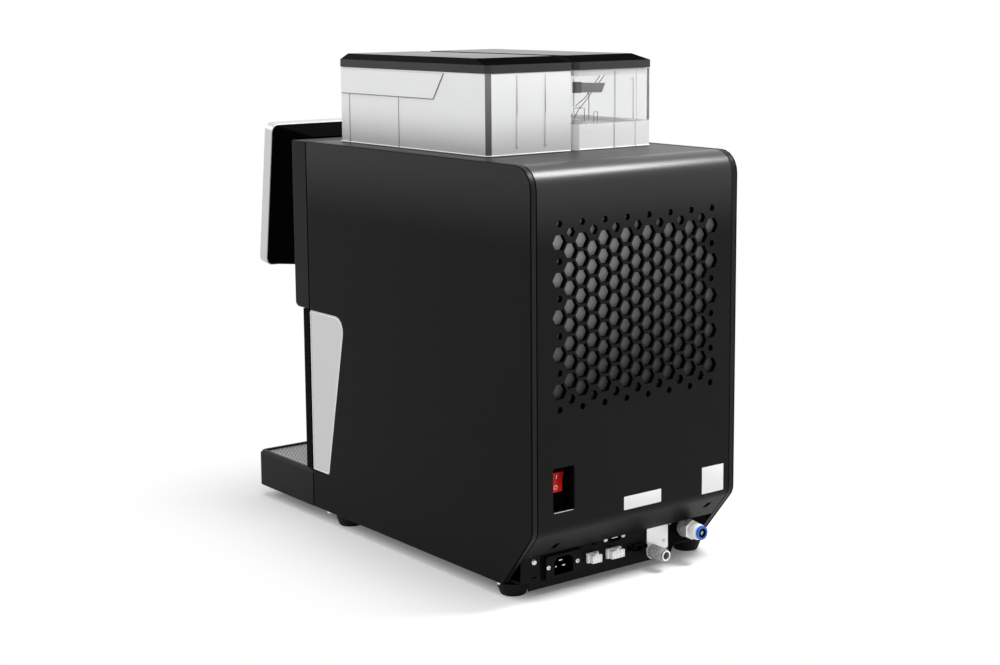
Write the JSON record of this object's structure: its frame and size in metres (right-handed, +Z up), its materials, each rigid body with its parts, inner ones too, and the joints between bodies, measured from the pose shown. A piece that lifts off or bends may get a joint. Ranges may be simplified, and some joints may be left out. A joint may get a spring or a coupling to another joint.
{
  "type": "bean-to-cup coffee machine",
  "caption": "Countertop bean-to-cup coffee machine seen from behind: hopper, powder canister, tilted screen on a hinged door, vented rear cover and service connectors.",
  "frame": {"origin": "centre of the bounding box in plan, at the underside of the feet", "axes": "+Z up, -Y towards the front door and its screen, +X towards the right side seen from the front"},
  "size_m": [0.3, 0.5862, 0.5845],
  "materials": {
    "black_paint": "fine satin texture",
    "black_plastic": "satin moulded",
    "gloss_black": "high gloss",
    "screen_glass": "polished, black backed",
    "brushed_silver": "fine brushed",
    "chrome": "polished",
    "steel": "satin",
    "grey_sheet": "matt",
    "frosted": "frosted, translucent",
    "clear": "clear, polished",
    "white_nylon": "satin moulded",
    "clear_grey": "translucent, smooth",
    "blue_collet": "smooth moulded",
    "red_rocker": "translucent, glossy",
    "rubber": "matt",
    "zinc_alloy": "cast and bead blasted",
    "circuit_green": "solder mask"
  },
  "bodies": {
    "machine": {"side_panel_right": "black_paint", "side_trim_right": "brushed_silver", "side_panel_left": "black_paint", "side_trim_left": "brushed_silver", "rear_cover": "black_paint", "vent_backing": "grey_sheet", "switch_pocket": "black_plastic", "switch_body": "black_plastic", "rear_connector_plate": "black_paint", "power_inlet": "gloss_black", "connector_6pin": "white_nylon", "connector_8pin": "white_nylon", "data_port": "steel", "serial_port": "black_plastic", "drain_plate": "steel", "drain_nipple": "clear_grey", "valve_bracket": "black_paint", "water_inlet_valve": "zinc_alloy", "fitting_nut": "white_nylon", "push_fitting": "clear_grey", "base_plate": "steel", "foot_front_right": "rubber", "foot_front_left": "rubber", "foot_rear_right": "rubber", "foot_rear_left": "rubber", "inner_shelf": "steel", "bulkhead": "steel", "top_deck": "black_paint", "front_fascia": "black_plastic", "hinge_bracket_upper": "steel", "hinge_pin_lower": "steel", "mixing_bowl": "white_nylon", "grinder_body": "black_plastic", "brew_unit": "black_plastic", "boiler": "chrome", "pump": "zinc_alloy", "control_board": "circuit_green"},
    "door": {"front_door": "black_plastic", "screen_frame": "brushed_silver", "screen_glass": "screen_glass", "screen_shell": "black_plastic", "spout_guide": "black_plastic"},
    "spout": {"spout_head": "gloss_black", "nozzle_right": "chrome", "nozzle_left": "chrome"},
    "tray": {"drip_tray": "black_plastic"},
    "grille": {"drip_grille": "steel"},
    "bin": {"grounds_bin": "black_plastic", "bin_front": "black_plastic"},
    "hopper": {"bean_hopper": "frosted"},
    "hopper_lid": {"bean_hopper_lid": "gloss_black"},
    "canister": {"powder_canister": "clear"},
    "canister_lid": {"powder_canister_lid": "gloss_black"},
    "auger_screw": {"auger": "white_nylon"},
    "stirrer": {"agitator_wheel": "white_nylon"},
    "burr": {"grinder_burr": "steel"},
    "piston": {"brew_piston": "clear_grey"},
    "rocker": {"switch_rocker": "red_rocker"},
    "collar": {"release_collar": "blue_collet"}
  },
  "joints": [
    {"name": "door_hinge", "type": "hinge", "parent": "machine", "child": "door", "pos_m": [-0.142, -0.16088, 0.37], "axis": [0, 0, -1], "range_deg": [0, 90]},
    {"name": "spout_height", "type": "slide", "parent": "door", "child": "spout", "axis": [0, 0, -1], "range_m": [0, 0.06]},
    {"name": "tray_slide", "type": "slide", "parent": "machine", "child": "tray", "axis": [0, -1, 0], "range_m": [0, 0.2]},
    {"name": "grille_lift", "type": "slide", "parent": "tray", "child": "grille", "axis": [0, 0, 1], "range_m": [0, 0.04]},
    {"name": "bin_slide", "type": "slide", "parent": "machine", "child": "bin", "axis": [0, -1, 0], "range_m": [0, 0.18]},
    {"name": "hopper_lift", "type": "slide", "parent": "machine", "child": "hopper", "axis": [0, 0, 1], "range_m": [0, 0.06]},
    {"name": "hopper_lid_lift", "type": "slide", "parent": "hopper", "child": "hopper_lid", "axis": [0, 0, 1], "range_m": [0, 0.04]},
    {"name": "canister_lift", "type": "slide", "parent": "machine", "child": "canister", "axis": [0, 0, 1], "range_m": [0, 0.06]},
    {"name": "canister_lid_lift", "type": "slide", "parent": "canister", "child": "canister_lid", "axis": [0, 0, 1], "range_m": [0, 0.04]},
    {"name": "auger_spin", "type": "hinge", "parent": "canister", "child": "auger_screw", "pos_m": [-0.0605, 0.02837, 0.4955], "axis": [0, 1, 0], "continuous": true},
    {"name": "stirrer_spin", "type": "hinge", "parent": "canister", "child": "stirrer", "pos_m": [-0.0605, 0.02212, 0.5353], "axis": [1, 0, 0], "continuous": true},
    {"name": "burr_spin", "type": "hinge", "parent": "machine", "child": "burr", "pos_m": [0.07, -0.05288, 0.4352], "axis": [0, 0, 1], "continuous": true},
    {"name": "piston_slide", "type": "slide", "parent": "machine", "child": "piston", "axis": [0, 0, -1], "range_m": [0, 0.06]},
    {"name": "switch_rock", "type": "hinge", "parent": "machine", "child": "rocker", "pos_m": [0.1054, 0.27212, 0.1317], "axis": [1, 0, 0], "range_deg": [0, 14]},
    {"name": "collar_press", "type": "slide", "parent": "machine", "child": "collar", "axis": [0, -1, 0], "range_m": [0, 0.0015], "stiffness_N_per_m": 300}
  ],
  "couplings": [
    {"joint": "stirrer_spin", "follows": "auger_spin", "ratio": 0.16667}
  ]
}
